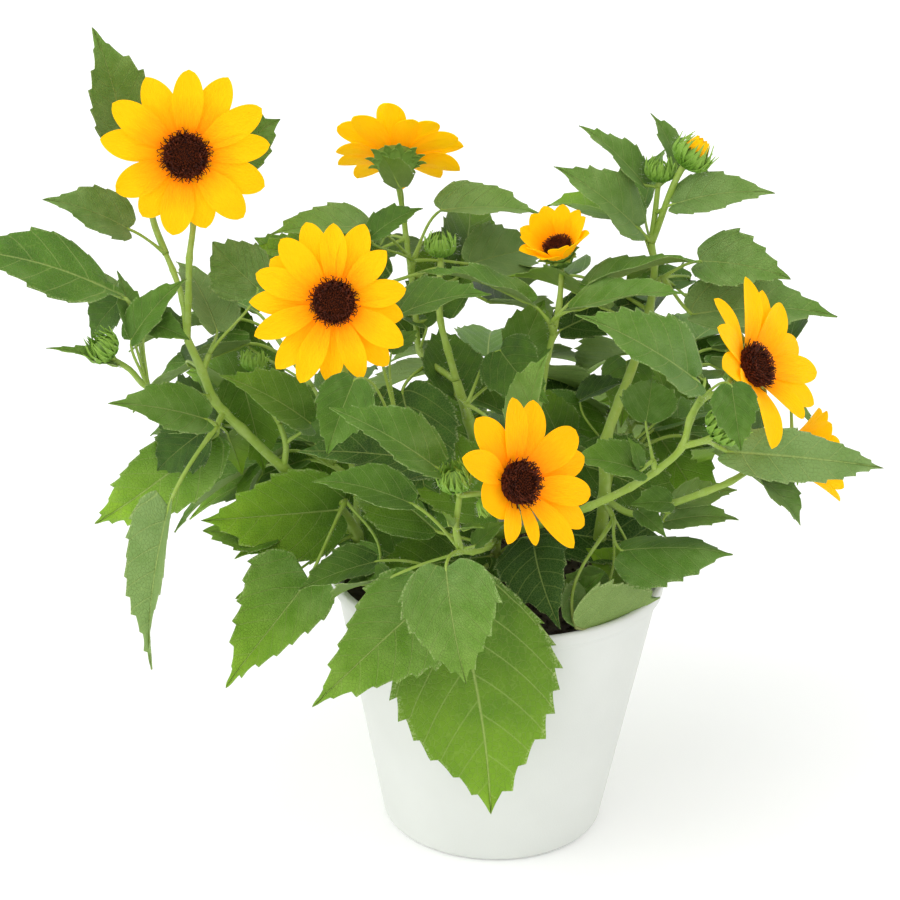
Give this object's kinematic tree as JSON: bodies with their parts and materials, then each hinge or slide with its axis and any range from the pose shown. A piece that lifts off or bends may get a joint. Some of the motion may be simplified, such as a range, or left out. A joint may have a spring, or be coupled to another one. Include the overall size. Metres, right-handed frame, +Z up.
{
  "type": "potted plant",
  "caption": "Bushy potted sunflower with branching stems, broad toothed leaves, open yellow flower heads and green buds, in a plain tapered pot.",
  "frame": {"origin": "centre of the pot's flat underside", "axes": "+Z up the pot's axis, +X to the right and +Y away from the viewer as the plant is pictured"},
  "size_m": [0.386, 0.3315, 0.3594],
  "materials": {
    "pot": "satin",
    "soil": "rough",
    "stems": "matt, finely ridged",
    "leaves": "matt",
    "flowers": "matt"
  },
  "bodies": {
    "root": {"pot": "pot", "soil": "soil", "left_stem": "stems", "left_flower_bough": "stems", "left_rear_bough": "stems", "middle_stem": "stems", "far_flower_bough": "stems", "bud_bough": "stems", "near_left_bough": "stems", "middle_flower_bough": "stems", "front_bough": "stems", "front_flower_bough": "stems", "right_stem": "stems", "right_flower_bough": "stems", "right_low_bough": "stems", "rear_left_bough": "stems", "rear_bough": "stems", "rear_right_bough": "stems", "left_flower": "flowers", "far_flower": "flowers", "near_left_flower": "flowers", "middle_flower": "flowers", "front_flower": "flowers", "right_flower": "flowers", "far_right_flower": "flowers", "front_foliage": "leaves", "front_pot_foliage": "leaves", "near_left_foliage": "leaves", "left_top_foliage": "leaves", "left_side_foliage": "leaves", "left_low_foliage": "leaves", "left_fork_foliage": "leaves", "left_inner_foliage": "leaves", "left_pot_foliage": "leaves", "far_foliage": "leaves", "bud_foliage": "leaves", "middle_foliage": "leaves", "middle_flower_foliage": "leaves", "right_top_foliage": "leaves", "right_upper_foliage": "leaves", "right_high_foliage": "leaves", "right_side_foliage": "leaves", "right_shoot_foliage": "leaves", "right_low_foliage": "leaves", "right_far_foliage": "leaves", "right_rim_foliage": "leaves", "rear_left_foliage": "leaves", "rear_left_low_foliage": "leaves", "rear_foliage": "leaves", "rear_middle_foliage": "leaves", "rear_right_foliage": "leaves", "rear_right_low_foliage": "leaves"}
  },
  "joints": []
}
